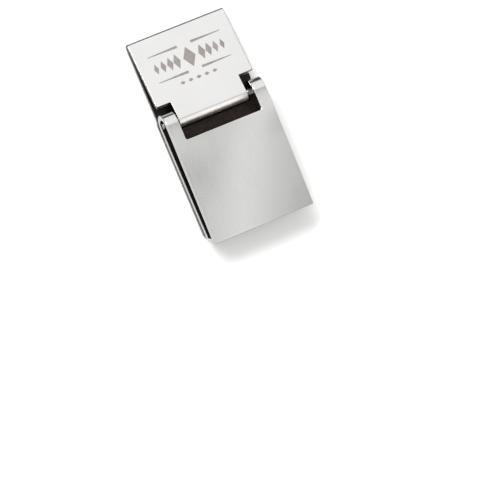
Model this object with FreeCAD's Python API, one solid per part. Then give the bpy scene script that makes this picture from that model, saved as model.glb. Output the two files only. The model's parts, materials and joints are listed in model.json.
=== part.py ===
"""Flip-lever money clip, in millimetres.

The clip lies on its back: +Z is the front, +Y points to the folded top edge and X runs across.
The origin is at the bottom centre of the whole object. Stations are distances down from the top
edge, as a sheet-metal drawing would give them.
"""
import FreeCAD, Part
import math
import os

V = FreeCAD.Vector
ACROSS = V(1, 0, 0)
EDGE_MARGIN = 0.1

# Overall
clip_length = 46.4
top_edge = clip_length / 2

# Body strip: one sheet folded over at the top and rolled round the pin
body_width = 23.0
body_sheet = 0.8
body_fold_gap = 0.3
body_joggle_step = 1.0
body_joggle_station = 17.0
body_joggle_radius = 0.9
body_joggle_angle = 45.0
body_tail_station = 45.2
body_tail_corner = 2.0
face_notch_station = 15.0
face_notch_floor = 0.3
tongue_width = 16.3
curl_wrap = 285.0

# Hinge pin
pin_radius = 0.7
pin_length = 23.2
pin_end_chamfer = 0.15
pin_running_gap = 0.05
pin_station = 19.05
pin_height = 4.4

# Lever: one sheet folded over at the ears, its inner leg turned up behind the tip
lever_width = 23.6
lever_sheet = 1.1
ear_radius = 2.9
pin_seat_bite = 0.02
pin_seat_angle = 60.0
front_drop = 0.8
leg_rise = 0.3
leg_flat_station = 44.1
tip_turn_radius = 1.1
tip_turn_angle = 75.0
tip_reach = 2.5
window_width = 18.0
window_front_station = 23.7
window_leg_station = 20.8
window_front_corner = 0.5
window_leg_corner = 0.35

# Detent spring under the face plate, and its two rivets
spring_width = 22.0
spring_sheet = 0.4
spring_start_station = 4.2
spring_bend_station = 9.0
spring_end_station = 15.2
spring_bend_radius = 4.0
spring_angle = 11.0
rivet_radius = 0.8
rivet_head_radius = 1.3
rivet_head_height = 0.35
rivet_head_rounding = 0.25
rivet_spacing = 12.0
rivet_station = 6.6


def at_station(station):
    """Return the Y of a distance down from the top edge."""
    return top_edge - station


def turned(vector, degrees):
    """Turn a (y, z) pair anticlockwise, as seen with +Y to the right and +Z up."""
    angle = math.radians(degrees)
    y, z = vector
    return (y * math.cos(angle) - z * math.sin(angle), y * math.sin(angle) + z * math.cos(angle))


class SheetPath:
    """The middle line of a bent sheet, drawn in the YZ plane as runs and bends."""

    def __init__(self, start, heading, sheet):
        """Start at a (y, z) point with a heading in degrees from +Y and a sheet thickness."""
        self.point = start
        self.heading = heading
        self.sheet = sheet
        self.left = []
        self.right = []

    def _side(self, point, heading, offset):
        """Return the 3-D point that stands off the middle line to the left of the heading."""
        y, z = turned((0, offset), heading)
        return V(0, point[0] + y, point[1] + z)

    def run(self, length):
        """Add a straight run."""
        step = turned((length, 0), self.heading)
        end = (self.point[0] + step[0], self.point[1] + step[1])
        for edges, offset in ((self.left, self.sheet / 2), (self.right, -self.sheet / 2)):
            line = Part.LineSegment(self._side(self.point, self.heading, offset),
                                    self._side(end, self.heading, offset))
            edges.append(line.toShape())
        self.point = end
        return self

    def bend(self, radius, degrees):
        """Add a bend of a middle-line radius; a positive angle turns anticlockwise."""
        side = math.copysign(1, degrees)
        inward = turned((0, side * radius), self.heading)
        centre = (self.point[0] + inward[0], self.point[1] + inward[1])
        stops = []
        for share in (0, 0.5, 1):
            heading = self.heading + degrees * share
            outward = turned((0, -side * radius), heading)
            stops.append(((centre[0] + outward[0], centre[1] + outward[1]), heading))
        for edges, offset in ((self.left, self.sheet / 2), (self.right, -self.sheet / 2)):
            a, b, c = (self._side(point, heading, offset) for point, heading in stops)
            edges.append(Part.Arc(a, b, c).toShape())
        self.point, self.heading = stops[-1]
        return self

    def extruded(self, width):
        """Close the sheet's outline and extrude it, centred on X = 0."""
        first = [self.left[0].valueAt(self.left[0].FirstParameter),
                 self.right[0].valueAt(self.right[0].FirstParameter)]
        last = [self.left[-1].valueAt(self.left[-1].LastParameter),
                self.right[-1].valueAt(self.right[-1].LastParameter)]
        caps = [Part.LineSegment(*first).toShape(), Part.LineSegment(*last).toShape()]
        outline = Part.Wire(Part.__sortEdges__(self.left + self.right + caps))
        solid = Part.Face(outline).extrude(V(width, 0, 0))
        solid.translate(V(-width / 2, 0, 0))
        return solid


def block(x_range, y_range, z_range):
    """Make a box from its limits along each axis."""
    corner = V(min(x_range), min(y_range), min(z_range))
    size = [abs(high - low) for low, high in (x_range, y_range, z_range)]
    return Part.makeBox(*size, corner)


def upright_edges(solid, tipward_of):
    """Return the straight edges that run along Z and lie nearer the tip than a given Y."""
    edges = []
    for edge in solid.Edges:
        box = edge.BoundBox
        upright = box.XLength < 1e-6 and box.YLength < 1e-6
        if upright and box.YMin < tipward_of:
            edges.append(edge)
    return edges


def face_plate_slope():
    """Work out the face plate's length and slope from the pin to the fold at the top.

    The plate's middle line is tangent to the pin's curl at one end and to the fold at the other.
    """
    curl_radius = pin_radius + pin_running_gap + body_sheet / 2
    fold_radius = (body_fold_gap + body_sheet) / 2
    rise = pin_height - (body_joggle_step + body_sheet / 2) - fold_radius
    reach = pin_station - fold_radius - body_sheet / 2
    offset = curl_radius - fold_radius
    length = math.sqrt(rise ** 2 + reach ** 2 - offset ** 2)
    slope = math.atan2(rise, reach) + math.atan2(offset, length)
    return length, math.degrees(slope), curl_radius, fold_radius


def rivet_hole(rivet_x):
    """Return the cutter for a rivet's hole through the back plate and the spring."""
    foot = V(rivet_x, at_station(rivet_station), body_joggle_step - body_sheet)
    return Part.makeCylinder(rivet_radius, 2 * body_sheet + 2 * spring_sheet, foot)


def body_strip():
    """Curl, face plate, top fold, joggle and back plate, bent from one strip."""
    length, slope, curl_radius, fold_radius = face_plate_slope()
    start_heading = curl_wrap - slope
    offset = turned((0, curl_radius), start_heading)
    start = (at_station(pin_station) + offset[0], pin_height + offset[1])
    path = SheetPath(start, start_heading, body_sheet)
    path.bend(curl_radius, -curl_wrap)
    path.run(length)
    path.bend(fold_radius, slope - 180)
    joggle_radius = body_joggle_radius + body_sheet / 2
    slant = body_joggle_step - 2 * joggle_radius * (1 - math.cos(math.radians(body_joggle_angle)))
    path.run(path.point[0] - at_station(body_joggle_station))
    path.bend(joggle_radius, body_joggle_angle)
    path.run(slant / math.sin(math.radians(body_joggle_angle)))
    path.bend(joggle_radius, -body_joggle_angle)
    path.run(path.point[0] - at_station(body_tail_station))
    strip = path.extruded(body_width)

    notch_edge = at_station(face_notch_station)
    notch_end = at_station(body_tail_station)
    above_back = body_joggle_step + body_sheet + face_notch_floor
    above_all = pin_height + ear_radius
    for side in (-1, 1):
        notch = block((side * tongue_width / 2, side * body_width),
                      (notch_end, notch_edge), (above_back, above_all))
        strip = strip.cut(notch)
    tail_corners = upright_edges(strip, at_station(body_tail_station) + EDGE_MARGIN)
    strip = strip.makeFillet(body_tail_corner, tail_corners)
    for rivet_x in (-rivet_spacing / 2, rivet_spacing / 2):
        strip = strip.cut(rivet_hole(rivet_x))
    return strip


def ear_centre():
    """Return the (y, z) centre of the ears' fold, set off the pin towards the front and tip."""
    eccentric = ear_radius - lever_sheet - pin_radius + pin_seat_bite
    angle = math.radians(pin_seat_angle)
    return (at_station(pin_station) - eccentric * math.cos(angle),
            pin_height + eccentric * math.sin(angle))


def clamp_lever():
    """Bowed front plate, ears folded over the pin, inner leg and its turned-up end."""
    centre_y, centre_z = ear_centre()
    ear_middle = ear_radius - lever_sheet / 2
    front_run = centre_y - at_station(clip_length)
    front_outer = (front_run ** 2 + front_drop ** 2) / (2 * front_drop)
    front_radius = front_outer - lever_sheet / 2
    front_turn = math.degrees(math.asin(front_run / front_outer))
    tip = turned((0, front_radius), front_turn)
    start = (centre_y + tip[0], centre_z + ear_middle - front_radius + tip[1])

    leg_run = centre_y - at_station(leg_flat_station)
    leg_outer = (leg_run ** 2 + leg_rise ** 2) / (2 * leg_rise)
    leg_turn = math.degrees(math.asin(leg_run / leg_outer))

    path = SheetPath(start, front_turn, lever_sheet)
    path.bend(front_radius, -front_turn)
    path.bend(ear_middle, -180)
    path.bend(leg_outer - lever_sheet / 2, -leg_turn)
    lever = path.extruded(lever_width)
    turn_up = SheetPath(path.point, path.heading, lever_sheet)
    turn_up.bend(tip_turn_radius, -tip_turn_angle)
    turn_up.run(tip_reach)
    lever = lever.fuse(turn_up.extruded(lever_width)).removeSplitter()

    half = window_width / 2
    front_window = block((-half, half), (at_station(window_front_station), top_edge),
                         (centre_z, centre_z + 2 * ear_radius))
    front_window = front_window.makeFillet(
        window_front_corner, upright_edges(front_window, at_station(window_front_station) + EDGE_MARGIN))
    leg_window = block((-half, half), (at_station(window_leg_station), top_edge),
                       (centre_z - 2 * ear_radius, centre_z))
    leg_window = leg_window.makeFillet(
        window_leg_corner, upright_edges(leg_window, at_station(window_leg_station) + EDGE_MARGIN))
    return lever.cut(front_window).cut(leg_window)


def hinge_pin():
    """Plain pin through the curl, seated in the crook of both ears."""
    base = V(-pin_length / 2, at_station(pin_station), pin_height)
    pin = Part.makeCylinder(pin_radius, pin_length, base, ACROSS)
    rims = [edge for edge in pin.Edges if isinstance(edge.Curve, Part.Circle)]
    return pin.makeChamfer(pin_end_chamfer, rims)


def detent_spring():
    """Leaf spring on the back plate; its free end meets the ears when the lever is open."""
    back_top = body_joggle_step + body_sheet
    start = (at_station(spring_start_station), back_top + spring_sheet / 2)
    path = SheetPath(start, 180, spring_sheet)
    path.run(spring_bend_station - spring_start_station)
    path.bend(spring_bend_radius, -spring_angle)
    left = path.point[0] - at_station(spring_end_station)
    path.run(left / math.cos(math.radians(spring_angle)))
    spring = path.extruded(spring_width)
    for rivet_x in (-rivet_spacing / 2, rivet_spacing / 2):
        spring = spring.cut(rivet_hole(rivet_x))
    return spring


def spring_rivet(rivet_x):
    """Rivet with a flush tail in the back plate and a low head on the spring."""
    foot = V(rivet_x, at_station(rivet_station), body_joggle_step)
    grip = body_sheet + spring_sheet
    shank = Part.makeCylinder(rivet_radius, grip + rivet_head_height / 2, foot)
    head_base = foot + V(0, 0, grip)
    head = Part.makeCylinder(rivet_head_radius, rivet_head_height, head_base)
    rims = [edge for edge in head.Edges if edge.BoundBox.ZMin > head_base.z + EDGE_MARGIN
            and edge.BoundBox.ZLength < 1e-6]
    head = head.makeFillet(rivet_head_rounding, rims)
    return shank.fuse(head).removeSplitter()


def main():
    """Build every sub-part and write one STEP file for each."""
    os.makedirs("parts", exist_ok=True)
    pieces = {
        "body_strip": body_strip(),
        "clamp_lever": clamp_lever(),
        "hinge_pin": hinge_pin(),
        "detent_spring": detent_spring(),
        "spring_rivet_left": spring_rivet(-rivet_spacing / 2),
        "spring_rivet_right": spring_rivet(rivet_spacing / 2),
    }
    for name, shape in pieces.items():
        box = shape.BoundBox
        print(f"{name}: {len(shape.Solids)} solid, valid {shape.isValid()}, "
              f"{shape.Volume:.1f} mm3, Y {box.YMin:.2f}..{box.YMax:.2f}, "
              f"Z {box.ZMin:.2f}..{box.ZMax:.2f}")
        shape.exportStep(f"parts/{name}.step")


main()
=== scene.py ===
"""A hinged money clip of polished sheet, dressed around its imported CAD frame.

The clip lies on its back plate: +Z is the front, +Y the folded top edge, and X runs across. All
lengths are in metres. Both strips are drawn as flat blanks, which are then bent along a path.
"""

import json
import logging
import math
from dataclasses import dataclass, field
from enum import Enum, IntEnum

import bpy
import numpy as np
from mathutils import Matrix, Vector

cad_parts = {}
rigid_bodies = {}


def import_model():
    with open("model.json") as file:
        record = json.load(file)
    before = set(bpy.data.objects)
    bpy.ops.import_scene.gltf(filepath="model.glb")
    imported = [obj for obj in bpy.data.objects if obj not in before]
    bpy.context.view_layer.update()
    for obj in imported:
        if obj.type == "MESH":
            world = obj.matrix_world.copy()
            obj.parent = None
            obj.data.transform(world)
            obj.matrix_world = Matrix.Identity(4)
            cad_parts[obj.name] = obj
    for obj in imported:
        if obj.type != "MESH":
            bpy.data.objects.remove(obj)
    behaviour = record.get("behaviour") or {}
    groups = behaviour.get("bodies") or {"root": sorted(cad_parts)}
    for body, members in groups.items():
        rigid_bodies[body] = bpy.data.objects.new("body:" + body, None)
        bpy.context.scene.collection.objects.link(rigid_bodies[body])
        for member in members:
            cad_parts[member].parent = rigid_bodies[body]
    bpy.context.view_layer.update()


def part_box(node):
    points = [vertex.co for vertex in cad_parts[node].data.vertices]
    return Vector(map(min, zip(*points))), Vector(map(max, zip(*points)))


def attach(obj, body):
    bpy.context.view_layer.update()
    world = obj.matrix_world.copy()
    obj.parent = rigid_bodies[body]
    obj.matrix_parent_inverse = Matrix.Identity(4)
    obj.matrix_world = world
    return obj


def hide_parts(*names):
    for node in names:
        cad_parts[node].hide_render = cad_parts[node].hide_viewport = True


LOG = logging.getLogger("money_clip")
MM = 0.001

Material = bpy.types.Material
Object = bpy.types.Object
Socket = bpy.types.NodeSocket
Array = np.ndarray
Triple = tuple[float, float, float]
Span = tuple[float, float]
NOISE_SPAN: Span = (0.3, 0.7)
UNIT_SPAN: Span = (0.0, 1.0)
ACROSS_GAP = 0.3 * MM
ALONG_GAP = 0.1 * MM
RUN_STEP = 0.8 * MM
BEND_STEP = math.radians(5)
LEAF_BEND_STEP = math.radians(3)


class Side(Enum):
    """The two faces of a bent sheet, by the side of the path they are on."""

    LEFT = 1
    RIGHT = -1


class Slot(IntEnum):
    """The places of the finishes on a bent sheet."""

    POLISHED = 0
    # Painted shade: a near-black finish put where the hollows of the folds lie in shade.
    PAINTED_SHADE = 1
    # Rolled: the curl's rougher finish, with a pinkish tint that is a painted reflection.
    ROLLED = 2


# ---------------------------------------------------------------- finishes


@dataclass(frozen=True)
class Pattern:
    """A noise pattern on object coordinates.

    Args:
        stretch: Repeats per metre along each axis.
        turn: Turn of the pattern about Z, in degrees.
        octaves: Levels of detail.
    """

    stretch: Triple
    turn: float = 0.0
    octaves: float = 4.0


class NodeBoard:
    """A small helper that lays out the nodes of one tree."""

    def __init__(self, tree: bpy.types.NodeTree) -> None:
        """Start with an empty tree.

        Args:
            tree: The tree to lay the nodes in.
        """
        self.tree = tree
        self.tree.nodes.clear()

    def add(self, kind: str, **settings: object) -> bpy.types.Node:
        """Add a node and set its properties."""
        node = self.tree.nodes.new(kind)
        for key, value in settings.items():
            setattr(node, key, value)
        return node

    def link(self, source: Socket, target: Socket) -> None:
        """Join two sockets."""
        self.tree.links.new(source, target)

    def spread(self, value: Socket, target: Span, source: Span = NOISE_SPAN) -> Socket:
        """Map a value from one range to another, clamped.

        Args:
            value: The value's socket.
            target: The range to map to.
            source: The range to map from, which is where most of a noise pattern lies.

        Returns:
            The mapped value's socket.
        """
        node = self.add("ShaderNodeMapRange")
        for key, number in zip(("From Min", "From Max", "To Min", "To Max"), (*source, *target)):
            node.inputs[key].default_value = number
        self.link(value, node.inputs["Value"])
        return node.outputs["Result"]

    def ramp(self, factor: Socket, stops: list[Span], white: Triple,
             interpolation: str) -> Socket:
        """Turn a factor into grey levels.

        Args:
            factor: The factor, from 0 to 1.
            stops: Rising places on the factor, each with its level.
            white: The colour of level 1.
            interpolation: How the levels blend between stops.

        Returns:
            The colour's socket.
        """
        node = self.add("ShaderNodeValToRGB")
        elements = node.color_ramp.elements
        node.color_ramp.interpolation = interpolation
        while len(elements) < len(stops):
            elements.new(0.5)
        for element, (place, level) in zip(elements, stops):
            element.position = place
            element.color = (*(level * channel for channel in white), 1.0)
        self.link(factor, node.inputs["Fac"])
        return node.outputs["Color"]


class NodeSheet(NodeBoard):
    """The nodes of one material."""

    def __init__(self, name: str) -> None:
        """Start an empty material with a shader and an output.

        Args:
            name: The material's name.
        """
        self.material = bpy.data.materials.new(name)
        self.material.use_nodes = True
        super().__init__(self.material.node_tree)
        self.shader = self.add("ShaderNodeBsdfPrincipled")
        output = self.add("ShaderNodeOutputMaterial")
        self.link(self.shader.outputs["BSDF"], output.inputs["Surface"])

    def noise(self, pattern: Pattern, turn: float = 0.0) -> Socket:
        """Return a noise pattern, turned further about Z by some degrees."""
        source = self.add("ShaderNodeTexCoord")
        mapping = self.add("ShaderNodeMapping")
        mapping.inputs["Rotation"].default_value = (0.0, 0.0, math.radians(turn + pattern.turn))
        mapping.inputs["Scale"].default_value = pattern.stretch
        self.link(source.outputs["Object"], mapping.inputs["Vector"])
        node = self.add("ShaderNodeTexNoise")
        node.inputs["Scale"].default_value = 1.0
        node.inputs["Detail"].default_value = pattern.octaves
        self.link(mapping.outputs["Vector"], node.inputs["Vector"])
        return node.outputs["Fac"]

    def combine(self, operation: str, first: Socket, second: Socket | float) -> Socket:
        """Join two values with one arithmetic operation."""
        node = self.add("ShaderNodeMath", operation=operation)
        self.link(first, node.inputs[0])
        if isinstance(second, float):
            node.inputs[1].default_value = second
        else:
            self.link(second, node.inputs[1])
        return node.outputs["Value"]

    def tint(self, factor: Socket, dark: Triple | Socket, light: Triple) -> Socket:
        """Blend from a colour, plain or from a socket, to a plain one by a factor."""
        node = self.add("ShaderNodeMix", data_type="RGBA")
        under, over = (next(s for s in node.inputs if s.name == key and s.type == "RGBA")
                       for key in ("A", "B"))
        if isinstance(dark, tuple):
            under.default_value = (*dark, 1.0)
        else:
            self.link(dark, under)
        over.default_value = (*light, 1.0)
        self.link(factor, node.inputs["Factor"])
        return next(s for s in node.outputs if s.type == "RGBA")

    def relief(self, height: Socket, depth: float, strength: float) -> None:
        """Drive the shader's normal from a height pattern.

        Args:
            height: The pattern.
            depth: Its depth in metres.
            strength: How much of it shows.
        """
        node = self.add("ShaderNodeBump")
        node.inputs["Strength"].default_value = strength
        node.inputs["Distance"].default_value = depth
        self.link(height, node.inputs["Height"])
        self.link(node.outputs["Normal"], self.shader.inputs["Normal"])

    def coat(self, colour: Socket, roughness: Socket, metallic: float) -> Material:
        """Feed the shader and return the finished material."""
        self.link(colour, self.shader.inputs["Base Color"])
        self.link(roughness, self.shader.inputs["Roughness"])
        self.shader.inputs["Metallic"].default_value = metallic
        return self.material


@dataclass(frozen=True)
class PolishedPlate:
    """Bright plate with a satin glow, hairline scratches, soft haze and rims rubbed smoother; an
    edge colour, where given, paints a dark reflection along the very rims.

    Each step is a change of roughness, or a share of the satin's own where the haze drifts.
    """

    name: str
    bright: Triple
    dim: Triple
    satin: float
    grain_turn: float = 0.0
    # Colour of a painted dark reflection along the rims, in place of what their rounded edges
    # mirror.
    edge: Triple | None = None
    haze: Pattern = Pattern((140.0, 90.0, 140.0), octaves=3.0)
    grain: Pattern = Pattern((9000.0, 420.0, 9000.0), octaves=2.0)
    hairs: Pattern = Pattern((520.0, 15000.0, 520.0), 34.0, 2.0)
    cross: Pattern = Pattern((15000.0, 600.0, 15000.0), 21.0, 2.0)
    hairs_span: Span = (0.66, 0.76)
    cross_span: Span = (0.68, 0.78)
    painted_edge_span: Span = (0.80, 0.95)
    haze_step: Span = (0.86, 1.14)
    grain_step: Span = (-0.02, 0.02)
    scratch_step: float = 0.07
    wear_step: float = -0.06
    scratch_depth: float = 0.8e-6

    def make(self) -> Material:
        """Build the material.

        Returns:
            Metal whose colour drifts with the haze, and roughness with every mark; an edge colour,
            where given, darkens the rims as a painted reflection.
        """
        sheet = NodeSheet(self.name)
        haze, grain, hairs, cross = (sheet.noise(pattern, self.grain_turn) for pattern in
                                     (self.haze, self.grain, self.hairs, self.cross))
        scratches = sheet.combine("MAXIMUM", sheet.spread(hairs, UNIT_SPAN, self.hairs_span),
                                  sheet.spread(cross, (0.0, 0.8), self.cross_span))
        rim = sheet.add("ShaderNodeAttribute", attribute_name="rim").outputs["Fac"]
        wear = sheet.combine("MULTIPLY", rim, sheet.spread(haze, (0.3, 1.0), (0.35, 0.6)))

        colour = sheet.tint(sheet.spread(haze, UNIT_SPAN), self.dim, self.bright)
        # Painted dark reflection: a thin strip at the very rims takes the edge colour.
        if self.edge:
            colour = sheet.tint(sheet.spread(rim, UNIT_SPAN, self.painted_edge_span), colour, self.edge)
        rough = sheet.spread(haze, tuple(self.satin * step for step in self.haze_step))
        for part in (sheet.spread(grain, self.grain_step),
                     sheet.combine("MULTIPLY", scratches, self.scratch_step),
                     sheet.combine("MULTIPLY", wear, self.wear_step)):
            rough = sheet.combine("ADD", rough, part)
        sheet.relief(sheet.combine("SUBTRACT", sheet.combine("MULTIPLY", grain, 0.25), scratches),
                     self.scratch_depth, 0.25)
        return sheet.coat(colour, rough, 1.0)


@dataclass(frozen=True)
class GrainedMetal:
    """Unpolished metal, with blotches in its colour and fine streaks in its relief.

    Both change its roughness, and the two changes add up.
    """

    name: str
    dark: Triple
    light: Triple
    streaks: Pattern
    streak_rough: Span
    blotches: Pattern = Pattern((600.0, 600.0, 600.0))
    blotch_rough: Span = (-0.05, 0.07)
    blotch_span: Span = (0.35, 0.65)
    depth: float = 2.0e-6
    strength: float = 0.5
    metallic: float = 1.0

    def make(self) -> Material:
        """Build the material."""
        sheet = NodeSheet(self.name)
        blotches, streaks = sheet.noise(self.blotches), sheet.noise(self.streaks)
        factor = sheet.spread(blotches, UNIT_SPAN, self.blotch_span)
        rough = sheet.combine("ADD", sheet.spread(blotches, self.blotch_rough),
                              sheet.spread(streaks, self.streak_rough))
        sheet.relief(streaks, self.depth, self.strength)
        return sheet.coat(sheet.tint(factor, self.dark, self.light), rough, self.metallic)


@dataclass(frozen=True)
class EtchedMark:
    """A laser-etched area: matt, slightly warm grey, with the beam's fine hatch."""

    name: str = "etched_mark"
    dark: Triple = (0.18, 0.158, 0.15)
    light: Triple = (0.27, 0.242, 0.233)
    hatch: Pattern = Pattern((900.0, 16000.0, 900.0), octaves=1.0)
    cloud: Pattern = Pattern((700.0, 700.0, 700.0))
    roughness: Span = (0.5, 0.66)
    hatch_depth: float = 2.0e-6

    def make(self) -> Material:
        """Build the material: close parallel hatch over a mottled matt ground."""
        sheet = NodeSheet(self.name)
        hatch, cloud = sheet.noise(self.hatch), sheet.noise(self.cloud)
        mix = sheet.combine("ADD", *(sheet.spread(pattern, (0.0, 0.5), (0.35, 0.65))
                                     for pattern in (hatch, cloud)))
        sheet.relief(hatch, self.hatch_depth, 0.6)
        return sheet.coat(sheet.tint(mix, self.dark, self.light),
                          sheet.spread(hatch, self.roughness), 0.2)


@dataclass(frozen=True)
class PaleFloor:
    """A plain matt board, off-white, with a barely visible tooth."""

    name: str = "pale_floor"
    colour: Triple = (0.86, 0.86, 0.855)
    shade: float = 0.985
    tooth: Pattern = Pattern((900.0, 900.0, 900.0))

    def make(self) -> Material:
        """Build the material."""
        sheet = NodeSheet(self.name)
        dark = tuple(channel * self.shade for channel in self.colour)
        sheet.link(sheet.tint(sheet.noise(self.tooth), dark, self.colour),
                   sheet.shader.inputs["Base Color"])
        sheet.shader.inputs["Roughness"].default_value = 0.8
        sheet.shader.inputs["Specular IOR Level"].default_value = 0.15
        return sheet.material


@dataclass
class FinishSet:
    """Every finish of the clip, made once."""

    body: Material
    lever: Material
    # Painted shade: near-black metal for the hollows inside the folds.
    inside: Material
    # The curl's rougher rolled finish, tinted pink as a painted reflection.
    rolled: Material
    pin: Material
    spring: Material
    rivet: Material
    mark: Material

    @classmethod
    def make(cls) -> "FinishSet":
        """Make the materials; the near-black interior one paints the shade inside the folds."""
        recipes = (
            # The body's edge colour is a painted dark reflection along its rims.
            PolishedPlate("polished_body", (0.91, 0.905, 0.90), (0.885, 0.878, 0.873), 0.17,
                          edge=(0.20, 0.195, 0.19)),
            PolishedPlate("polished_lever", (0.86, 0.857, 0.845), (0.82, 0.817, 0.806), 0.16, 3.0),
            # Painted shade: this near-black metal stands in for the shade inside the folds.
            GrainedMetal("painted_shade_interior", (0.018, 0.014, 0.012), (0.030, 0.022, 0.018),
                         Pattern((7000.0, 300.0, 7000.0), octaves=3.0), (-0.03, 0.03),
                         Pattern((900.0, 1300.0, 900.0), octaves=5.0), (0.33, 0.41), (0.35, 0.68),
                         1.2e-6, 0.25, 0.85),
            # Rougher rolled surface, tinted pink as a painted reflection of the light the curl
            # catches.
            PolishedPlate("rolled_curl_pink_reflection", (0.93, 0.885, 0.86), (0.88, 0.83, 0.80), 0.46),
            GrainedMetal("pin_steel", (0.36, 0.35, 0.35), (0.55, 0.55, 0.56),
                         Pattern((14000.0, 300.0, 300.0), octaves=3.0), (0.25, 0.35)),
            GrainedMetal("spring_steel", (0.28, 0.28, 0.29), (0.42, 0.43, 0.45),
                         Pattern((6000.0, 350.0, 350.0), octaves=3.0), (0.29, 0.39)),
            GrainedMetal("rivet_steel", (0.46, 0.45, 0.44), (0.62, 0.62, 0.62),
                         Pattern((1800.0, 1800.0, 9000.0), octaves=3.0), (0.23, 0.33)),
            EtchedMark())
        return cls(*(recipe.make() for recipe in recipes))


# ---------------------------------------------------------------- bent sheets


def add_piece(name: str, points: Array, faces: list[list[int]],
              finishes: tuple[Material, ...], smooth: bool) -> Object:
    """Make a mesh object and put it in the scene.

    Args:
        name: The piece's name.
        points: Its points (n, 3), in metres.
        faces: Its faces, each a ring of points seen from outside.
        finishes: Its materials, in the order of their slots.
        smooth: Whether its faces are shaded smoothly.

    Returns:
        The new object, at the scene's origin.
    """
    mesh = bpy.data.meshes.new(name)
    mesh.from_pydata(points.tolist(), [], faces)
    mesh.polygons.foreach_set("use_smooth", np.full(len(faces), smooth))
    for finish in finishes:
        mesh.materials.append(finish)
    mesh.update()
    piece = bpy.data.objects.new(name, mesh)
    bpy.context.scene.collection.objects.link(piece)
    return piece


@dataclass
class BendPath:
    """The middle line of a sheet in the YZ plane: runs and round bends, joined smoothly.

    A point at distance a along a piece is start + a * heading on a run. On a bend of curvature k
    it is start + (sin(t) - sin(t0), cos(t0) - cos(t)) / k, where t = t0 + k * a.
    """

    start: tuple[float, float]
    heading: float
    pieces: list[tuple[float, float, float, float, float, float]] = field(default_factory=list)
    length: float = 0.0

    def _add(self, span: float, curvature: float) -> float:
        """Add a piece and return the distance at its end."""
        y, z = self.start
        self.pieces.append((self.length, span, y, z, self.heading, curvature))
        point, _ = self.at(np.array([self.length + span]))
        self.start = (float(point[0, 0]), float(point[0, 1]))
        self.heading += curvature * span
        self.length += span
        return self.length

    def run(self, span: float) -> float:
        """Add a straight run of a given length."""
        return self._add(span, 0.0)

    def bend(self, radius: float, degrees: float) -> float:
        """Add a bend of a middle-line radius; a positive angle turns anticlockwise."""
        turn = math.radians(degrees)
        return self._add(radius * abs(turn), math.copysign(1.0 / radius, turn))

    def at(self, distance: Array) -> tuple[Array, Array]:
        """Evaluate the path.

        Args:
            distance: Distances along the path.

        Returns:
            Points (n, 2) and left-hand unit normals (n, 2), as y and z.
        """
        table = np.array(self.pieces)
        index = np.clip(np.searchsorted(table[:, 0], distance, side="right") - 1, 0, len(table) - 1)
        begin, _, y, z, heading, curve = table[index].T
        along = distance - begin
        angle = heading + curve * along
        bent = np.abs(curve) > 0
        safe = np.where(bent, curve, 1.0)
        step_y = np.where(bent, (np.sin(angle) - np.sin(heading)) / safe, along * np.cos(heading))
        step_z = np.where(bent, (np.cos(heading) - np.cos(angle)) / safe, along * np.sin(heading))
        points = np.stack([y + step_y, z + step_z], 1)
        normals = np.stack([-np.sin(angle), np.cos(angle)], 1)
        return points, normals

    def stops(self, flat_step: float, turn_step: float) -> list[float]:
        """Return distances that follow the path: even on runs, and by angle on bends."""
        out = [0.0]
        for begin, span, _, _, _, curve in self.pieces:
            count = max(math.ceil(span / flat_step), math.ceil(abs(curve) * span / turn_step), 1)
            out.extend(begin + span * (np.arange(count) + 1) / count)
        return out


def merged(values: list[float], forced: list[float], apart: float) -> Array:
    """Sort grid lines, keep every forced one and drop others that lie too near to it.

    Args:
        values: Lines that may be dropped.
        forced: Lines that stay.
        apart: The least distance from a forced line.

    Returns:
        The sorted lines.
    """
    fixed = np.array(sorted(forced))
    loose = np.array(values)
    near = np.abs(loose[:, None] - fixed[None, :]).min(1)
    return np.unique(np.round(np.concatenate([fixed, loose[near > apart]]), 9))


@dataclass
class Corner:
    """One rounded corner of a blank.

    Args:
        across: Its place across the blank.
        along: Its place along the blank.
        radius: The corner's radius.
        toward: Signs (across, along) that point from the corner into the corner's square.
        inner: True where the corner belongs to a window, so that metal is added, not taken.
        tiny: How far past the square a point may lie, in radii.
        on_edge: How near to a window's edge a point counts as on it, in radii.
    """

    across: float
    along: float
    radius: float
    toward: tuple[int, int]
    inner: bool
    tiny: float = 1e-6
    on_edge: float = 1e-4

    def apply(self, x: Array, s: Array) -> tuple[Array, Array]:
        """Move the grid's points so that the corner is round.

        In the corner's square, u and v run from 0 on the far sides to 1 on the near ones. An outer
        corner uses the map of a square onto a quarter disc: u * sqrt(1 - v^2 / 2) and
        v * sqrt(1 - u^2 / 2). A window's corner only moves points that lie on its two edges.
        """
        centre_x = self.across + self.toward[0] * self.radius
        centre_s = self.along + self.toward[1] * self.radius
        u = -(x - centre_x) * self.toward[0] / self.radius
        v = -(s - centre_s) * self.toward[1] / self.radius
        inside = (np.minimum(u, v) >= -self.tiny) & (np.maximum(u, v) <= 1 + self.tiny)
        if self.inner:
            inside &= (np.abs(u - 1) < self.on_edge) | (np.abs(v - 1) < self.on_edge)
        u_new = u * np.sqrt(np.clip(1 - v * v / 2, 0, 1))
        v_new = v * np.sqrt(np.clip(1 - u * u / 2, 0, 1))
        x = np.where(inside, centre_x - self.toward[0] * u_new * self.radius, x)
        s = np.where(inside, centre_s - self.toward[1] * v_new * self.radius, s)
        return x, s


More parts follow.
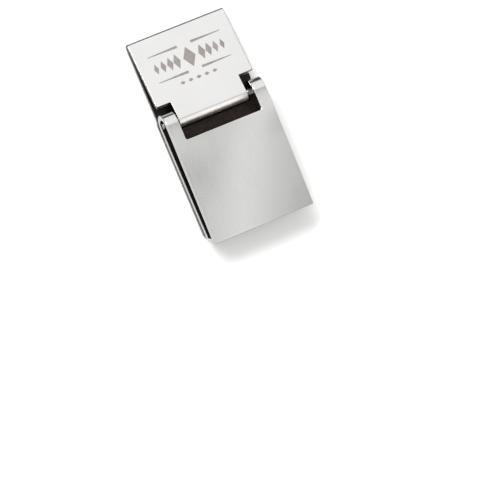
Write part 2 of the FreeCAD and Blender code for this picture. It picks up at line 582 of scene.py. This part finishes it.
@dataclass
class BentBlank:
    """A flat blank on a grid, bent along a path and given its thickness.

    Each grid point (x, s) becomes (x, path(s) + h * normal(s)) with h = +half and -half the
    sheet, less a crown that grows with the square of x and fades out between two distances.
    Only kept cells are made, and every open edge gets a wall. The ranges of the painted shade
    (a near-black finish that stands in for the shade inside the folds), of the rolled finish
    (whose pinkish tint is a painted reflection) and of the crown's fade are distances along the
    blank. A painted shade opening is a half width and such a range, in which the walls get the
    painted shade too. The rim's mark fades out at the rim depth, and edges sharper than a given
    angle, in degrees, are rounded.
    """

    name: str
    path: BendPath
    sheet: float
    across: Array
    along: Array
    kept: Array
    corners: list[Corner]
    # Per side, the span along the blank whose faces get the painted shade.
    painted_shade_spans: dict[Side, Span]
    edge_radius: float
    rim_depth: float = 0.7 * MM
    crown: float = 0.0
    crown_fade: Span = UNIT_SPAN
    painted_shade_opening: Triple | None = None
    rolled: Span | None = None
    edge_steps: int = 3
    sharpest: float = 50.0

    def _flat(self) -> tuple[Array, Array]:
        """Return the grid points' places across and along the blank, with its corners round."""
        s, x = (grid.ravel() for grid in np.meshgrid(self.along, self.across, indexing="ij"))
        for corner in self.corners:
            x, s = corner.apply(x, s)
        return x, s

    def _cells(self) -> tuple[Array, Array]:
        """Return the kept cells as rings of points, and the open edges as pairs of points."""
        rows, columns = len(self.along), len(self.across)
        index = np.arange(rows * columns).reshape(rows, columns)
        cells = np.stack([index[:-1, :-1], index[:-1, 1:], index[1:, 1:], index[1:, :-1]], 2)
        cells = cells[self.kept]
        edges = np.concatenate([cells[:, [k, (k + 1) % 4]] for k in range(4)])
        forward = edges[:, 0] * index.size + edges[:, 1]
        backward = edges[:, 1] * index.size + edges[:, 0]
        return cells, edges[~np.isin(forward, backward)]

    def _crown(self, x: Array, s: Array) -> Array:
        """Return how far the sheet lies below its own middle line.

        It is crown * (x / half width)^2 * (3 w^2 - 2 w^3), where w falls from 1 to 0 over the fade.
        """
        near, far = self.crown_fade
        w = np.clip((far - s) / (far - near), 0, 1)
        return self.crown * (x / self.across.max()) ** 2 * (3 - 2 * w) * w * w

    def _rim(self, flat: Array, open_points: Array) -> Array:
        """Return 1 on an open edge, falling to 0 at the rim's depth."""
        nearest = np.full(len(flat), np.inf)
        for point in flat[open_points]:
            nearest = np.minimum(nearest, np.linalg.norm(flat - point, axis=1))
        return np.clip(1 - nearest / self.rim_depth, 0, 1)

    def _slots(self, x: Array, s: Array, cells: Array, border: Array) -> Array:
        """Choose a finish for each face of the two sides, and then of the walls."""
        middle = s[cells].mean(1)
        sides = {side: np.zeros(len(cells), np.int32) for side in Side}
        # Painted shade: faces in these spans get the near-black finish.
        for side, (low, high) in self.painted_shade_spans.items():
            sides[side][(middle > low) & (middle < high)] = Slot.PAINTED_SHADE
        # Rolled finish on the curl, whose pinkish tint is a painted reflection.
        if self.rolled:
            low, high = self.rolled
            sides[Side.LEFT][(middle > low) & (middle < high)] = Slot.ROLLED
        walls = np.zeros(len(border), np.int32)
        # Painted shade: the walls of the opening get the near-black finish too.
        if self.painted_shade_opening:
            half, low, high = self.painted_shade_opening
            wall_x, wall_s = np.abs(x[border]).max(1), s[border].mean(1)
            walls[(wall_x < half) & (wall_s > low) & (wall_s < high)] = Slot.PAINTED_SHADE
        return np.concatenate([*sides.values(), walls])

    def build(self, finishes: tuple[Material, ...]) -> Object:
        """Make the piece.

        Args:
            finishes: The polished material, and then the painted shade one (near black, for
                the shade inside the folds) and the rolled one where the blank has such faces.

        Returns:
            A closed mesh object with rounded sheet edges.
        """
        x, s = self._flat()
        points, normals = self.path.at(s)
        points = points - normals * self._crown(x, s)[:, None]
        both = np.concatenate([np.column_stack([x, points + normals * side.value * self.sheet / 2])
                               for side in Side])
        cells, border = self._cells()
        shift = len(x)
        walls = np.concatenate([border[:, ::-1], border + shift], 1)
        used, faces = np.unique(np.concatenate([cells, cells[:, ::-1] + shift, walls]),
                                return_inverse=True)
        piece = add_piece(self.name, both[used], faces.reshape(-1, 4).tolist(), finishes, True)
        piece.data.polygons.foreach_set("material_index", self._slots(x, s, cells, border))
        rim = np.tile(self._rim(np.stack([x, s], 1), np.unique(border)), 2)[used]
        layer = piece.data.attributes.new("rim", "FLOAT", "POINT")
        layer.data.foreach_set("value", rim.astype(np.float32))
        bevel = piece.modifiers.new("soft_edges", "BEVEL")
        bevel.width = self.edge_radius
        bevel.segments = self.edge_steps
        bevel.limit_method = "ANGLE"
        bevel.angle_limit = math.radians(self.sharpest)
        bevel.harden_normals = True
        return piece


# ---------------------------------------------------------------- turned pieces


def revolve(name: str, profile: Array, centre: Vector, axis: str, finish: Material,
            count: int = 72) -> Object:
    """Turn a profile about an axis through a centre.

    A profile point (h, r) at angle t becomes centre + h * axis + r * (cos(t), sin(t)) across it.
    The first and last points lie on the axis and are shared by all angles.

    Args:
        name: The piece's name.
        profile: Heights and radii (n, 2), in metres, from one pole to the other.
        centre: The point that heights are measured from.
        axis: "X" or "Z".
        finish: The material.
        count: Steps round the axis.

    Returns:
        A closed mesh object.
    """
    angle = np.linspace(0, 2 * math.pi, count, endpoint=False)
    ring = profile[1:-1]
    height = np.repeat(ring[:, 0], count)
    first = np.outer(ring[:, 1], np.cos(angle)).ravel()
    second = np.outer(ring[:, 1], np.sin(angle)).ravel()
    poles = profile[[0, -1], 0]
    along = np.concatenate([height, poles])
    sideways = np.concatenate([first, [0, 0]])
    upward = np.concatenate([second, [0, 0]])
    order = (along, sideways, upward) if axis == "X" else (sideways, upward, along)
    points = np.stack(order, 1) + np.array(centre)

    rings = len(ring)
    index = np.arange(rings * count).reshape(rings, count)
    turned = np.roll(index, -1, axis=1)
    quads = np.stack([index[:-1], turned[:-1], turned[1:], index[1:]], 2).reshape(-1, 4)
    low, high = rings * count, rings * count + 1
    bottom = np.stack([turned[0], index[0], np.full(count, low)], 1)
    top = np.stack([index[-1], turned[-1], np.full(count, high)], 1)
    return add_piece(name, points, quads.tolist() + bottom.tolist() + top.tolist(), (finish,), True)


def rounded_rod(low: float, high: float, radius: float, edge: float) -> Array:
    """Return the profile of a rod whose two rims are quarter circles."""
    arc = np.linspace(0, math.pi / 2, 9)
    inward, rim = edge * (1 - np.sin(arc)), radius - edge * (1 - np.cos(arc))
    start, end = np.stack([low + inward, rim], 1)[::-1], np.stack([high - inward, rim], 1)
    return np.concatenate([[[low, 0.0]], start, end, [[high, 0.0]]])


# ---------------------------------------------------------------- the clip's strips


@dataclass
class PinAxis:
    """The hinge line, read from the frame's pin."""

    y: float
    z: float
    radius: float
    half_length: float

    @classmethod
    def read(cls) -> "PinAxis":
        """Take the pin's centre, radius and length from its CAD box."""
        low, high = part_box("hinge_pin")
        return cls((low.y + high.y) / 2, (low.z + high.z) / 2, (high.z - low.z) / 2,
                   (high.x - low.x) / 2)


def middles(lines: Array) -> Array:
    """Return the middles of the gaps between grid lines."""
    return (lines[1:] + lines[:-1]) / 2


def mirrored(values: list[float]) -> list[float]:
    """Return places across a strip on both sides of its middle."""
    return [side * value for side in (-1, 1) for value in values]


@dataclass
class BodyStrip:
    """Curl, tongue, face plate, top fold, joggle and back plate, all one strip.

    Stations are measured down from the top fold. The curl's outer side gets the rolled finish,
    whose pinkish tint is a painted reflection, except its last part, by roll_margin, which is
    polished. The inner side gets the painted shade, a near-black finish, from the curl's start
    to a given length past the joggle, and is polished from there on.
    """

    pin: PinAxis
    sheet: float = 0.8 * MM
    running_gap: float = 0.05 * MM
    fold_gap: float = 0.3 * MM
    joggle_step: float = 1.0 * MM
    joggle_radius: float = 0.9 * MM
    joggle_station: float = 17.0 * MM
    joggle_angle: float = 45.0
    notch_station: float = 15.0 * MM
    tongue_width: float = 16.3 * MM
    tail_corner: float = 2.0 * MM
    curl_wrap: float = 285.0
    roll_margin: float = 14.0
    shaded_reach: float = 4.6 * MM
    edge_radius: float = 0.16 * MM
    rim: float = 0.45 * MM
    columns: int = 29
    line_gap: float = 0.12 * MM
    slope: float = field(init=False)
    curl_radius: float = field(init=False)

    def _path(self, top: float, tail: float) -> tuple[BendPath, dict[str, float]]:
        """Lay out the strip's middle line and return it with the distances at its features."""
        self.curl_radius = self.pin.radius + self.running_gap + self.sheet / 2
        fold_radius = (self.fold_gap + self.sheet) / 2
        rise = self.pin.z - (self.joggle_step + self.sheet / 2) - fold_radius
        reach = (top - self.pin.y) - fold_radius - self.sheet / 2
        offset = self.curl_radius - fold_radius
        length = math.sqrt(rise ** 2 + reach ** 2 - offset ** 2)
        self.slope = math.atan2(rise, reach) + math.atan2(offset, length)
        heading = math.radians(self.curl_wrap) - self.slope
        start = (self.pin.y - self.curl_radius * math.sin(heading),
                 self.pin.z + self.curl_radius * math.cos(heading))
        path = BendPath(start, heading)
        marks = {"curl": path.bend(self.curl_radius, -self.curl_wrap)}
        notch_run = (top - self.notch_station - path.start[0]) / math.cos(self.slope)
        marks["notch"] = marks["curl"] + notch_run
        path.run(length)
        path.bend(fold_radius, math.degrees(self.slope) - 180)
        joggle = self.joggle_radius + self.sheet / 2
        turn = math.radians(self.joggle_angle)
        slant = self.joggle_step - 2 * joggle * (1 - math.cos(turn))
        marks["joggle"] = path.run(path.start[0] - (top - self.joggle_station))
        path.bend(joggle, self.joggle_angle)
        path.run(slant / math.sin(turn))
        path.bend(joggle, -self.joggle_angle)
        marks["tail"] = path.run(path.start[0] - tail)
        return path, marks

    def build(self, finishes: FinishSet) -> Object:
        """Cut the blank, bend it and put it on the body.

        Args:
            finishes: The clip's finishes.

        Returns:
            The finished strip.
        """
        low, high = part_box("body_strip")
        path, marks = self._path(high.y, low.y)
        half, tongue, rim = high.x, self.tongue_width / 2, self.rim
        corner_steps = [self.tail_corner * k / 5 for k in range(1, 6)]
        forced = mirrored([half, half - rim, tongue, tongue - rim, tongue + rim,
                           *(half - step for step in corner_steps[1:])])
        across = merged(np.linspace(-half, half, self.columns).tolist(), forced, ACROSS_GAP)
        along = merged(path.stops(RUN_STEP, BEND_STEP),
                       [0.0, 0.4 * MM, marks["notch"], marks["notch"] + rim, marks["notch"] - rim,
                        *(marks["tail"] - step for step in corner_steps), marks["tail"]],
                       self.line_gap)
        on_tongue = np.abs(middles(across)) < tongue
        kept = (middles(along)[:, None] > marks["notch"]) | on_tongue[None, :]
        corners = [Corner(side * half, marks["tail"], self.tail_corner, (-side, -1), False)
                   for side in (-1, 1)]
        roll_end = marks["curl"] - self.curl_radius * math.radians(self.roll_margin)
        # Painted shade on the inner side, from the start to a given length past the joggle.
        blank = BentBlank("folded_body", path, self.sheet, across, along, kept, corners,
                          {Side.RIGHT: (0.0, marks["joggle"] + self.shaded_reach)}, self.edge_radius,
                          rolled=(0.0, roll_end))
        piece = blank.build((finishes.body, finishes.inside, finishes.rolled))
        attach(piece, "body")
        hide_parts("body_strip")
        LOG.info("folded_body: slope %.2f degrees, strip %.1f mm long",
                 math.degrees(self.slope), path.length / MM)
        return piece


@dataclass
class ClampLever:
    """Bowed front plate, ears folded over the pin, inner leg and turned-up end.

    Stations are measured down from the body's top fold.
    """

    pin: PinAxis
    sheet: float = 1.1 * MM
    front_drop: float = 0.8 * MM
    leg_rise: float = 0.3 * MM
    leg_flat_station: float = 44.1 * MM
    tip_turn_radius: float = 1.1 * MM
    tip_turn_angle: float = 75.0
    tip_reach: float = 2.5 * MM
    window_width: float = 18.0 * MM
    window_front_station: float = 23.7 * MM
    window_leg_station: float = 20.8 * MM
    window_front_corner: float = 0.5 * MM
    window_leg_corner: float = 0.35 * MM
    crown: float = 0.25 * MM
    crown_run: float = 11.0 * MM
    edge_radius: float = 0.15 * MM
    rim: float = 0.5 * MM
    columns: int = 27

    def _path(self, low: Vector, high: Vector, top: float) -> tuple[BendPath, dict[str, float]]:
        """Lay out the strip's middle line and return it with the distances at its features.

        The front and the leg are arcs that drop by a given amount over their runs, so the outer
        radius of each is (run^2 + drop^2) / (2 drop).
        """
        ear_outer = (high.z - low.z) / 2
        centre_y, centre_z = high.y - ear_outer, (high.z + low.z) / 2
        ear_middle = ear_outer - self.sheet / 2
        front_run = centre_y - low.y
        front_outer = (front_run ** 2 + self.front_drop ** 2) / (2 * self.front_drop)
        front_radius = front_outer - self.sheet / 2
        front_turn = math.asin(front_run / front_outer)
        start = (centre_y - front_radius * math.sin(front_turn),
                 centre_z + ear_middle - front_radius * (1 - math.cos(front_turn)))
        leg_run = centre_y - (top - self.leg_flat_station)
        leg_outer = (leg_run ** 2 + self.leg_rise ** 2) / (2 * self.leg_rise)
        leg_turn = math.asin(leg_run / leg_outer)

        path = BendPath(start, front_turn)
        marks = {"front": path.bend(front_radius, -math.degrees(front_turn)),
                 "ears": path.bend(ear_middle, -180),
                 "leg": path.bend(leg_outer - self.sheet / 2, -math.degrees(leg_turn))}
        path.bend(self.tip_turn_radius, -self.tip_turn_angle)
        marks["end"] = path.run(self.tip_reach)
        marks["window"] = marks["front"] - (centre_y - (top - self.window_front_station))
        marks["window_end"] = marks["ears"] + (centre_y - (top - self.window_leg_station))
        return path, marks

    def build(self, finishes: FinishSet) -> Object:
        """Cut the blank with its window, bend it and put it on the lever.

        Args:
            finishes: The clip's finishes.

        Returns:
            The finished lever.
        """
        low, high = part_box("clamp_lever")
        path, marks = self._path(low, high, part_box("body_strip")[1].y)
        begin, close, end = marks["window"], marks["window_end"], marks["end"]
        half, gap, rim = high.x, self.window_width / 2, self.rim
        front, back = self.window_front_corner, self.window_leg_corner
        front_steps, back_steps = ([radius * k / count for k in range(count + 1)]
                                   for radius, count in ((front, 4), (back, 3)))
        forced = mirrored([half, half - rim, gap + rim,
                           *(gap - step for step in front_steps + back_steps)])
        across = merged(np.linspace(-half, half, self.columns).tolist(), forced, ACROSS_GAP)
        corner_s = [begin + step for step in front_steps] + [close - step for step in back_steps]
        edges_s = [0.0, rim, end - rim, end, begin - rim, close + rim]
        along = merged(path.stops(RUN_STEP, BEND_STEP), corner_s + edges_s, ALONG_GAP)
        in_window = (middles(along) > begin) & (middles(along) < close)
        kept = ~(in_window[:, None] & (np.abs(middles(across)) < gap)[None, :])
        corners = [Corner(side * gap, place, radius, (-side, toward), True) for side in (-1, 1)
                   for place, radius, toward in ((begin, front, 1), (close, back, -1))]
        # Painted shade on the lever's whole inner side and on the window walls between the ears and
        # the leg.
        blank = BentBlank("flip_lever", path, self.sheet, across, along, kept, corners,
                          {Side.RIGHT: (0.0, end)}, self.edge_radius, crown=self.crown,
                          crown_fade=(marks["front"] - self.crown_run, marks["front"]),
                          painted_shade_opening=(gap + rim / 2, marks["ears"], marks["leg"]))
        piece = blank.build((finishes.lever, finishes.inside))
        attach(piece, "lever")
        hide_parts("clamp_lever")
        LOG.info("flip_lever: window %.1f mm along the strip", (close - begin) / MM)
        return piece


@dataclass
class DetentLeaf:
    """The thin leaf spring that lies on the back plate under the face plate."""

    sheet: float = 0.4 * MM
    bend_station: float = 9.0 * MM
    bend_radius: float = 4.0 * MM
    angle: float = 11.0
    edge_radius: float = 0.08 * MM
    columns: int = 31

    def build(self, finishes: FinishSet) -> Object:
        """Bend the leaf and put it on the body."""
        low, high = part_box("detent_spring")
        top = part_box("body_strip")[1].y
        path = BendPath((high.y, low.z + self.sheet / 2), math.pi)
        path.run(high.y - (top - self.bend_station))
        path.bend(self.bend_radius, -self.angle)
        turn = math.radians(self.angle)
        path.run((path.start[0] - low.y) / math.cos(turn) - self.sheet / 2 * math.tan(turn))
        across = np.linspace(low.x, high.x, self.columns)
        along = merged(path.stops(RUN_STEP, LEAF_BEND_STEP), [0.0, path.length], ALONG_GAP)
        kept = np.ones((len(along) - 1, len(across) - 1), bool)
        blank = BentBlank("leaf_spring", path, self.sheet, across, along, kept, [], {},
                          self.edge_radius)
        piece = blank.build((finishes.spring,))
        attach(piece, "body")
        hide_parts("detent_spring")
        LOG.info("leaf_spring: %.1f mm long", path.length / MM)
        return piece


@dataclass
class Fixings:
    """The hinge pin and the leaf's two rivets."""

    pin: PinAxis
    pin_edge: float = 0.22 * MM
    head_height: float = 0.35 * MM
    shank_radius: float = 0.8 * MM
    tail_proud: float = 0.03 * MM
    tail_chamfer: float = 0.93
    head_undercut: float = 0.985
    dome_powers: Span = (0.8, 0.55)

    def build_pin(self, finishes: FinishSet) -> Object:
        """Turn the pin with softly broken ends."""
        profile = rounded_rod(-self.pin.half_length, self.pin.half_length, self.pin.radius,
                              self.pin_edge)
        centre = Vector((0, self.pin.y, self.pin.z))
        piece = revolve("hinge_rod", profile, centre, "X", finishes.pin)
        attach(piece, "lever")
        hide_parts("hinge_pin")
        LOG.info("hinge_rod: %.1f mm long", 2 * self.pin.half_length / MM)
        return piece

    def build_rivet(self, side: str, finishes: FinishSet) -> Object:
        """Turn one rivet: a nearly flush tail, a shank and a low domed head.

        The head's outline is (cos^b, sin^a) of an angle, with the two dome powers as a and b.

        Args:
            side: "left" or "right".
            finishes: The clip's finishes.

        Returns:
            The finished rivet.
        """
        node = f"spring_rivet_{side}"
        low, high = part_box(node)
        head = (high.x - low.x) / 2
        seat = high.z - self.head_height - low.z
        tail = -self.tail_proud
        dome = np.linspace(0, math.pi / 2, 12)
        rise, fall = self.dome_powers
        cap = np.stack([seat + self.head_height * np.sin(dome) ** rise,
                        head * np.cos(dome) ** fall], 1)[:-1]
        shank = [[tail, 0.0], [tail, self.shank_radius * self.tail_chamfer],
                 [tail + self.tail_proud * 0.6, self.shank_radius], [seat, self.shank_radius],
                 [seat, head * self.head_undercut]]
        profile = np.concatenate([shank, cap, [[seat + self.head_height, 0.0]]])
        centre = Vector(((low.x + high.x) / 2, (low.y + high.y) / 2, low.z))
        piece = revolve(f"leaf_rivet_{side}", profile, centre, "Z", finishes.rivet)
        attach(piece, "body")
        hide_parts(node)
        LOG.info("leaf_rivet_%s: head %.1f mm across", side, 2 * head / MM)
        return piece


@dataclass
class EtchedOrnament:
    """A plain geometric ornament etched on the face plate: lozenges between tapered bars.

    Every figure is a flat outline (x, a), with a measured down the plate from its middle. It
    becomes (x, plate point + a * down the slope) and gets a thickness along the plate's normal.
    The figures' own measures, from row to dot_row, are in millimetres.
    """

    pin: PinAxis
    slope: float
    curl_outer: float
    station: float = 8.2 * MM
    proud: float = 0.006 * MM
    sunk: float = 0.03 * MM
    row: float = -0.9
    first: float = 2.95
    pitch: float = 1.62
    shrink: float = 0.88
    bar_reach: Span = (1.6, 8.6)
    bar_offset: float = 3.0
    bar_halves: Span = (0.30, 0.08)
    dot_pitch: float = 1.9
    dot_row: float = 3.9

    def _figures(self) -> list[Array]:
        """Return the outlines, in millimetres."""
        def lozenge(x: float, a: float, wide: float, tall: float) -> Array:
            """Return a four-cornered figure."""
            return np.array([[x + wide, a], [x, a + tall], [x - wide, a], [x, a - tall]])

        figures = [lozenge(0.0, self.row, 1.45, 2.35)]
        for step in range(4):
            size = self.shrink ** step
            for side in (-1, 1):
                x = side * (self.first + self.pitch * step)
                figures.append(lozenge(x, self.row, 0.82 * size, 1.75 * size))
        thick, thin = self.bar_halves
        for side in (-1, 1):
            near, far = (side * reach for reach in self.bar_reach)
            for row in (-1, 1):
                a = self.row + row * self.bar_offset
                figures.append(np.array([[near, a - thick], [far, a - thin], [far, a + thin],
                                         [near, a + thick]]))
        for place in range(-2, 3):
            figures.append(lozenge(place * self.dot_pitch, self.dot_row, 0.62, 0.42))
        return figures

    def build(self, finishes: FinishSet) -> Object:
        """Lay the figures on the plate and put them on the body."""
        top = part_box("body_strip")[1].y
        normal = np.array([0.0, math.sin(self.slope), math.cos(self.slope)])
        down = np.array([0.0, -math.cos(self.slope), math.sin(self.slope)])
        touch = np.array([0.0, self.pin.y, self.pin.z]) + normal * self.curl_outer
        middle = touch - down * ((top - self.station - touch[1]) / math.cos(self.slope))
        points, faces = [], []
        for outline in self._figures():
            flat = middle + np.outer(outline[:, 1] * MM, down)
            flat[:, 0] += outline[:, 0] * MM
            base, count = sum(len(block) for block in points), len(outline)
            points += [flat + normal * self.proud, flat - normal * self.sunk]
            area = np.cross(flat[1] - flat[0], flat[2] - flat[1]) @ normal
            ring = list(range(count)) if area > 0 else list(range(count))[::-1]
            faces.append([base + k for k in ring])
            faces.append([base + count + k for k in reversed(ring)])
            for here, after in zip(ring, ring[1:] + ring[:1]):
                faces.append([base + after, base + here, base + count + here,
                              base + count + after])
        piece = add_piece("etched_ornament", np.concatenate(points), faces, (finishes.mark,), False)
        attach(piece, "body")
        LOG.info("etched_ornament: %d figures", len(points) // 2)
        return piece


# ---------------------------------------------------------------- studio


@dataclass(frozen=True)
class SoftBox:
    """One rectangular lamp that faces the clip."""

    name: str
    place: Triple
    size: Span
    power: float

    def hang(self) -> None:
        """Put the lamp in the scene."""
        data = bpy.data.lights.new(self.name, "AREA")
        data.shape = "RECTANGLE"
        data.size, data.size_y = self.size
        data.energy = self.power
        light = bpy.data.objects.new(self.name, data)
        bpy.context.scene.collection.objects.link(light)
        facing = Vector(self.place).to_track_quat("Z", "Y").to_matrix().to_4x4()
        light.matrix_world = Matrix.Translation(Vector(self.place)) @ facing


@dataclass
class Studio:
    """Pale floor, soft light, and a camera nearly square on to the clip's front.

    Angles are in degrees, and the lens and sensor in millimetres. A room level is the light at a
    height of the direction, from -1 to 1. A band level is its strength at a place on the band's
    range, which lies along one slanted direction.
    """

    tilt: float = 16.5
    bearing: float = 87.6
    roll: float = -22.85
    distance: float = 0.800
    lens: float = 271.4
    sensor: float = 36.0
    aim: Triple = (-0.00414, -0.02703, 0.0035)
    floor_size: float = 3.0
    room_levels: tuple[Span, ...] = (
        (-1.0, 0.85), (-0.75, 0.8), (-0.58, 0.07), (-0.02, 0.07), (0.16, 0.95), (1.0, 1.0))
    band_direction: Triple = (0.8, -0.6, 0.0)
    band_range: Span = (-0.2, 0.8)
    band_levels: tuple[Span, ...] = (
        (0.0, 0.95), (0.26, 0.95), (0.385, 0.42), (0.447, 1.0), (0.465, 1.0), (0.51, 0.58),
        (0.57, 0.45), (0.66, 0.50), (0.82, 0.90), (1.0, 0.95))
    soft_boxes: tuple[SoftBox, ...] = (
        SoftBox("key_box", (-0.30, 0.55, 0.75), (0.6, 0.35), 9.0),
        SoftBox("fill_box", (0.55, -0.45, 0.45), (0.35, 0.35), 1.6))

    def add_floor(self) -> None:
        """Lay a square board at the height that the clip rests on, left out of reflections."""
        signs = np.array([[-1, -1, 0], [1, -1, 0], [1, 1, 0], [-1, 1, 0]])
        floor = add_piece("floor_board", signs * self.floor_size / 2, [[0, 1, 2, 3]],
                          (PaleFloor().make(),), False)
        floor.visible_glossy = False

    def add_camera(self) -> None:
        """Place the camera by its tilt from the clip's normal and its bearing round it."""
        tilt, bearing = math.radians(self.tilt), math.radians(self.bearing)
        back = Vector((-math.sin(tilt) * math.sin(bearing), -math.sin(tilt) * math.cos(bearing),
                       math.cos(tilt)))
        right = Vector((0, 1, 0)).cross(back).normalized()
        up = back.cross(right)
        roll = math.radians(self.roll)
        rolled_right = right * math.cos(roll) + up * math.sin(roll)
        rolled_up = up * math.cos(roll) - right * math.sin(roll)
        place = Vector(self.aim) + back * self.distance
        data = bpy.data.cameras.new("studio_camera")
        data.lens = self.lens
        data.sensor_width = self.sensor
        data.clip_start = 0.01
        camera = bpy.data.objects.new("studio_camera", data)
        bpy.context.scene.collection.objects.link(camera)
        axes = Matrix((rolled_right, rolled_up, back)).transposed()
        camera.matrix_world = Matrix.Translation(place) @ axes.to_4x4()
        bpy.context.scene.camera = camera

    def add_surround(self) -> None:
        """Fill the room with soft light.

        Its colour follows the direction's height: a bright ceiling, dark walls round the horizon,
        and a pale table straight below, which stands in for the floor in the metal's reflections.
        Its strength varies over the whole room along one slanted direction, with a narrow bright
        band and dimmer light on both sides of it.
        """
        world = bpy.data.worlds.new("soft_room")
        world.use_nodes = True
        board = NodeBoard(world.node_tree)
        toward = board.add("ShaderNodeTexCoord").outputs["Generated"]
        split = board.add("ShaderNodeSeparateXYZ")
        board.link(toward, split.inputs["Vector"])
        height = board.spread(split.outputs["Z"], UNIT_SPAN, (-1.0, 1.0))
        heights = [((rise + 1) / 2, level) for rise, level in self.room_levels]
        colour = board.ramp(height, heights, (1.0, 1.0, 0.99), "LINEAR")

        band = board.add("ShaderNodeVectorMath", operation="DOT_PRODUCT")
        band.inputs[1].default_value = self.band_direction
        board.link(toward, band.inputs[0])
        across = board.spread(band.outputs["Value"], UNIT_SPAN, self.band_range)
        strength = board.ramp(across, list(self.band_levels), (1.0, 1.0, 1.0), "EASE")

        glow, output = board.add("ShaderNodeBackground"), board.add("ShaderNodeOutputWorld")
        board.link(colour, glow.inputs["Color"])
        board.link(strength, glow.inputs["Strength"])
        board.link(glow.outputs["Background"], output.inputs["Surface"])
        bpy.context.scene.world = world

    def build(self) -> None:
        """Set up the whole studio."""
        bpy.context.scene.view_settings.view_transform = "Standard"
        self.add_camera()
        self.add_floor()
        self.add_surround()
        for box in self.soft_boxes:
            box.hang()
        LOG.info("studio: camera %.0f mm away", self.distance / MM)


def main() -> None:
    """Build the studio and every piece of the clip."""
    logging.basicConfig(level=logging.INFO, format="%(name)s: %(message)s")
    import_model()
    Studio().build()
    finishes = FinishSet.make()
    pin = PinAxis.read()
    body = BodyStrip(pin)
    body.build(finishes)
    ClampLever(pin).build(finishes)
    DetentLeaf().build(finishes)
    fixings = Fixings(pin)
    fixings.build_pin(finishes)
    for side in ("left", "right"):
        fixings.build_rivet(side, finishes)
    EtchedOrnament(pin, body.slope, body.curl_radius + body.sheet / 2).build(finishes)


if __name__ == "__main__":
    main()
